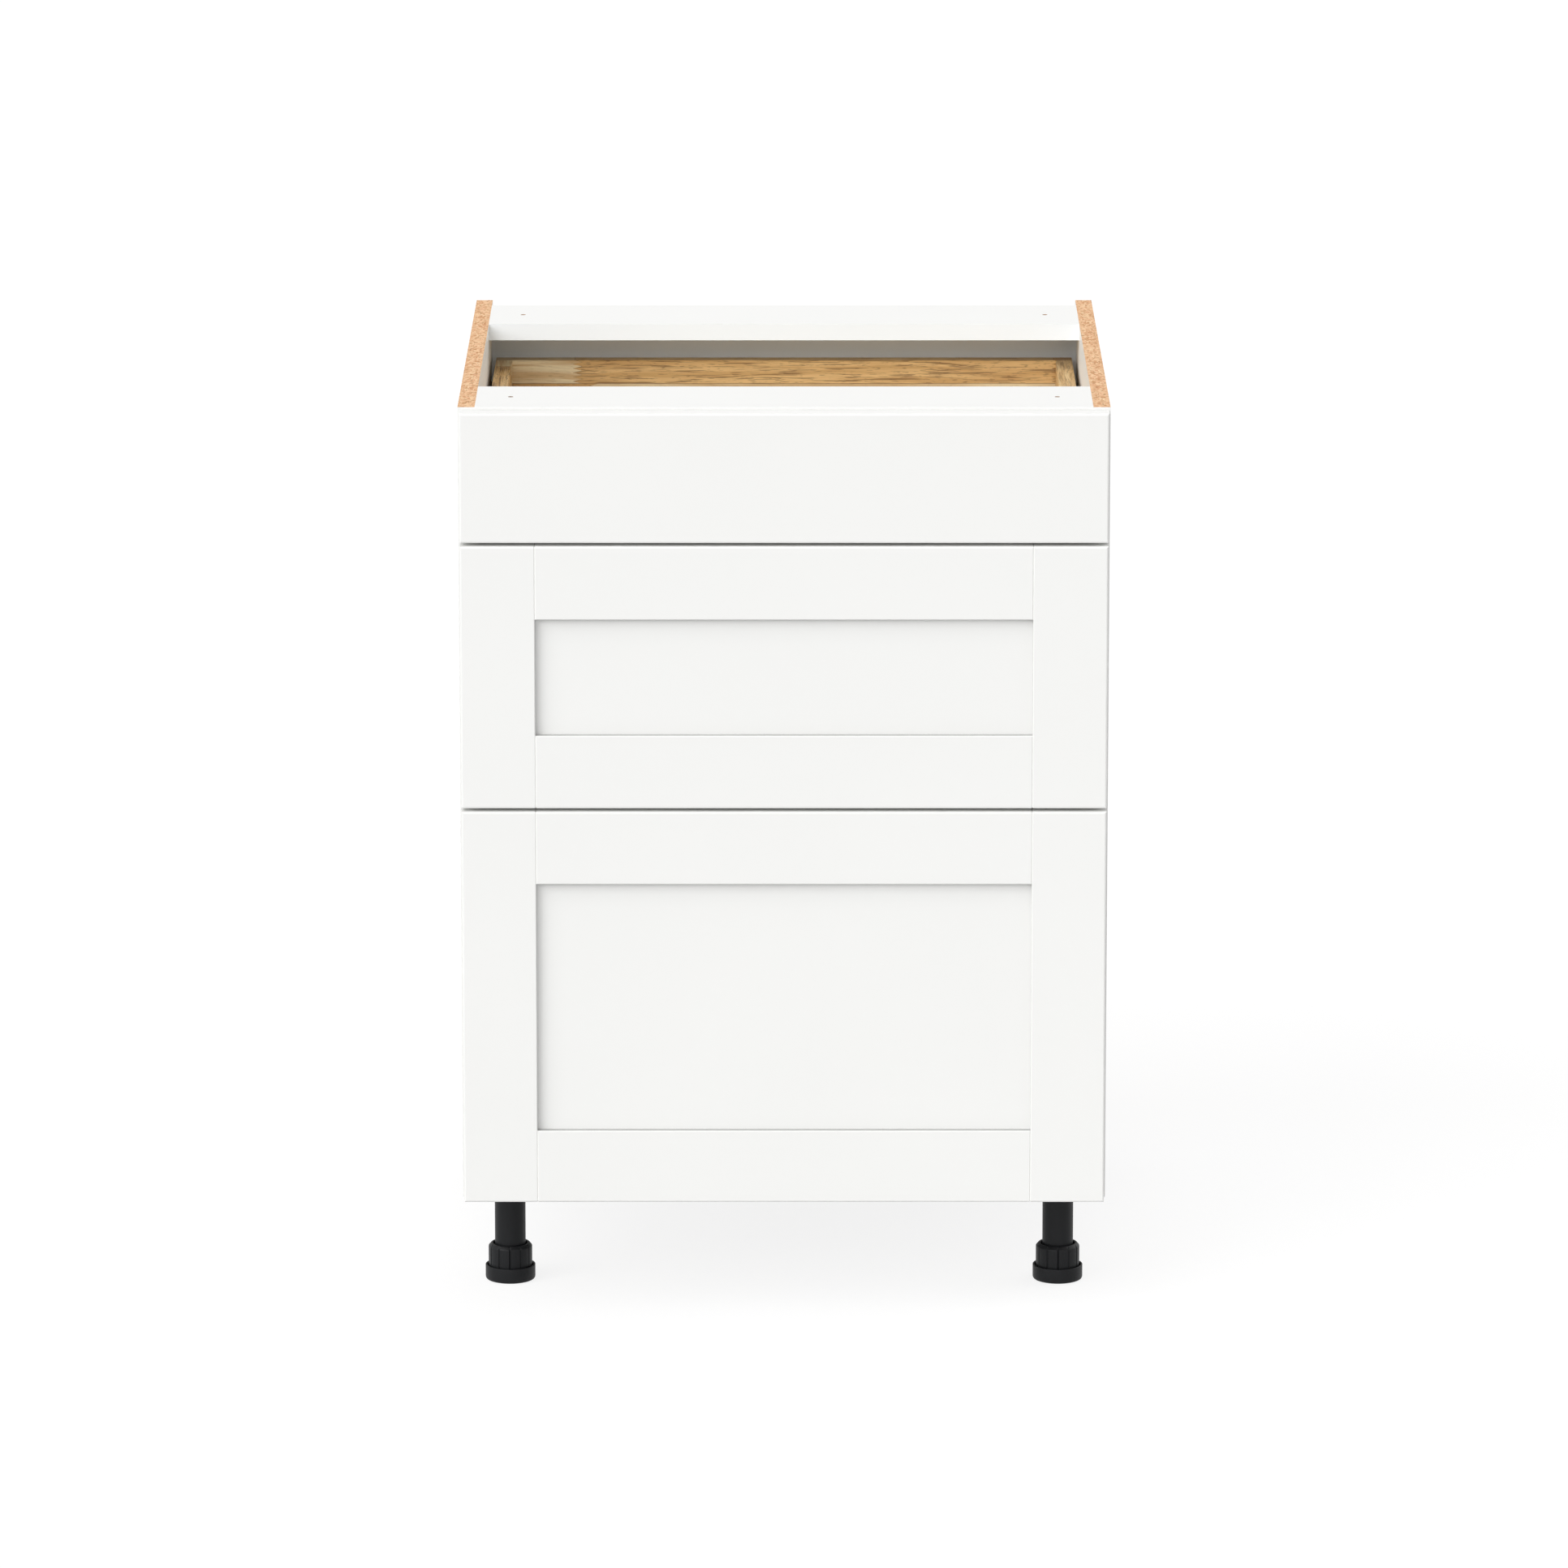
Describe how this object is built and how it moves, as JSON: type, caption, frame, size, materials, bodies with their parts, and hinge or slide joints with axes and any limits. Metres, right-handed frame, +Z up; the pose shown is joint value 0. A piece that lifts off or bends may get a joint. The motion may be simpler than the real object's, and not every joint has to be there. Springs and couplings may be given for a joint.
{
  "type": "base cabinet with drawers",
  "caption": "White frameless kitchen base cabinet on levelling legs, with a plain and framed drawer fronts, dovetailed wooden drawer boxes and an open top for a worktop.",
  "frame": {"origin": "on the floor, under the middle of the closed cabinet", "axes": "+Z up; +Y from the drawer fronts to the back; +X to the right seen from the front"},
  "size_m": [0.6096, 0.6096, 0.8763],
  "materials": {
    "melamine_board": "white melamine-faced particleboard with raw top edges",
    "hardboard": "white-faced thin fibreboard",
    "painted_front": "white satin lacquer on fibreboard",
    "box_wood": "clear-lacquered finger-jointed hardwood",
    "dowel_wood": "plain beech",
    "zinc_steel": "zinc-plated folded steel",
    "zinc_fittings": "zinc-plated fittings",
    "leg_plastic": "black moulded polypropylene",
    "latch_plastic": "grey moulded plastic"
  },
  "bodies": {
    "carcass": {"side_panel_left": "melamine_board", "side_panel_right": "melamine_board", "bottom_panel": "melamine_board", "back_panel": "hardboard", "front_stretcher": "melamine_board", "back_stretcher": "melamine_board", "assembly_dowels": "dowel_wood", "cam_fittings": "zinc_fittings", "fixing_screws": "zinc_fittings", "leg_tubes": "leg_plastic", "top_runner_rails": "zinc_steel", "middle_runner_rails": "zinc_steel", "bottom_runner_rails": "zinc_steel"},
    "top_drawer": {"top_front_slab": "painted_front", "top_box_front": "box_wood", "top_box_back": "box_wood", "top_box_left": "box_wood", "top_box_right": "box_wood", "top_box_base": "box_wood", "top_runner_slides": "zinc_steel", "top_latches": "latch_plastic", "top_front_screws": "zinc_fittings"},
    "top_runner_float": {"top_runner_middles": "zinc_steel"},
    "middle_drawer": {"middle_left_stile": "painted_front", "middle_right_stile": "painted_front", "middle_top_rail": "painted_front", "middle_bottom_rail": "painted_front", "middle_front_panel": "painted_front", "middle_box_front": "box_wood", "middle_box_back": "box_wood", "middle_box_left": "box_wood", "middle_box_right": "box_wood", "middle_box_base": "box_wood", "middle_runner_slides": "zinc_steel", "middle_latches": "latch_plastic", "middle_front_screws": "zinc_fittings"},
    "middle_runner_float": {"middle_runner_middles": "zinc_steel"},
    "bottom_drawer": {"bottom_left_stile": "painted_front", "bottom_right_stile": "painted_front", "bottom_top_rail": "painted_front", "bottom_bottom_rail": "painted_front", "bottom_front_panel": "painted_front", "bottom_box_front": "box_wood", "bottom_box_back": "box_wood", "bottom_box_left": "box_wood", "bottom_box_right": "box_wood", "bottom_box_base": "box_wood", "bottom_runner_slides": "zinc_steel", "bottom_latches": "latch_plastic", "bottom_front_screws": "zinc_fittings"},
    "bottom_runner_float": {"bottom_runner_middles": "zinc_steel"},
    "foot_front_left": {"foot_front_left": "leg_plastic"},
    "collar_front_left": {"collar_front_left": "leg_plastic"},
    "foot_front_right": {"foot_front_right": "leg_plastic"},
    "collar_front_right": {"collar_front_right": "leg_plastic"},
    "foot_rear_left": {"foot_rear_left": "leg_plastic"},
    "collar_rear_left": {"collar_rear_left": "leg_plastic"},
    "foot_rear_right": {"foot_rear_right": "leg_plastic"},
    "collar_rear_right": {"collar_rear_right": "leg_plastic"}
  },
  "joints": [
    {"name": "top_drawer_slide", "type": "slide", "parent": "carcass", "child": "top_drawer", "axis": [0, -1, 0], "range_m": [0, 0.508]},
    {"name": "top_runner_travel", "type": "slide", "parent": "carcass", "child": "top_runner_float", "axis": [0, -1, 0], "range_m": [0, 0.254]},
    {"name": "middle_drawer_slide", "type": "slide", "parent": "carcass", "child": "middle_drawer", "axis": [0, -1, 0], "range_m": [0, 0.508]},
    {"name": "middle_runner_travel", "type": "slide", "parent": "carcass", "child": "middle_runner_float", "axis": [0, -1, 0], "range_m": [0, 0.254]},
    {"name": "bottom_drawer_slide", "type": "slide", "parent": "carcass", "child": "bottom_drawer", "axis": [0, -1, 0], "range_m": [0, 0.508]},
    {"name": "bottom_runner_travel", "type": "slide", "parent": "carcass", "child": "bottom_runner_float", "axis": [0, -1, 0], "range_m": [0, 0.254]},
    {"name": "foot_height_front_left", "type": "slide", "parent": "carcass", "child": "foot_front_left", "axis": [0, 0, -1], "range_m": [-0.005, 0.02]},
    {"name": "collar_turn_front_left", "type": "hinge", "parent": "foot_front_left", "child": "collar_front_left", "pos_m": [-0.2638, -0.1603, 0.02], "axis": [0, 0, -1], "range_deg": [-455, 1805]},
    {"name": "foot_height_front_right", "type": "slide", "parent": "carcass", "child": "foot_front_right", "axis": [0, 0, -1], "range_m": [-0.005, 0.02]},
    {"name": "collar_turn_front_right", "type": "hinge", "parent": "foot_front_right", "child": "collar_front_right", "pos_m": [0.2638, -0.1603, 0.02], "axis": [0, 0, -1], "range_deg": [-455, 1805]},
    {"name": "foot_height_rear_left", "type": "slide", "parent": "carcass", "child": "foot_rear_left", "axis": [0, 0, -1], "range_m": [-0.005, 0.02]},
    {"name": "collar_turn_rear_left", "type": "hinge", "parent": "foot_rear_left", "child": "collar_rear_left", "pos_m": [-0.2638, 0.2448, 0.02], "axis": [0, 0, -1], "range_deg": [-455, 1805]},
    {"name": "foot_height_rear_right", "type": "slide", "parent": "carcass", "child": "foot_rear_right", "axis": [0, 0, -1], "range_m": [-0.005, 0.02]},
    {"name": "collar_turn_rear_right", "type": "hinge", "parent": "foot_rear_right", "child": "collar_rear_right", "pos_m": [0.2638, 0.2448, 0.02], "axis": [0, 0, -1], "range_deg": [-455, 1805]}
  ],
  "couplings": [
    {"joint": "top_runner_travel", "follows": "top_drawer_slide", "ratio": 0.5},
    {"joint": "middle_runner_travel", "follows": "middle_drawer_slide", "ratio": 0.5},
    {"joint": "bottom_runner_travel", "follows": "bottom_drawer_slide", "ratio": 0.5},
    {"joint": "collar_turn_front_left", "follows": "foot_height_front_left", "rad_per_m": 1570.8},
    {"joint": "collar_turn_front_right", "follows": "foot_height_front_right", "rad_per_m": 1570.8},
    {"joint": "collar_turn_rear_left", "follows": "foot_height_rear_left", "rad_per_m": 1570.8},
    {"joint": "collar_turn_rear_right", "follows": "foot_height_rear_right", "rad_per_m": 1570.8}
  ]
}
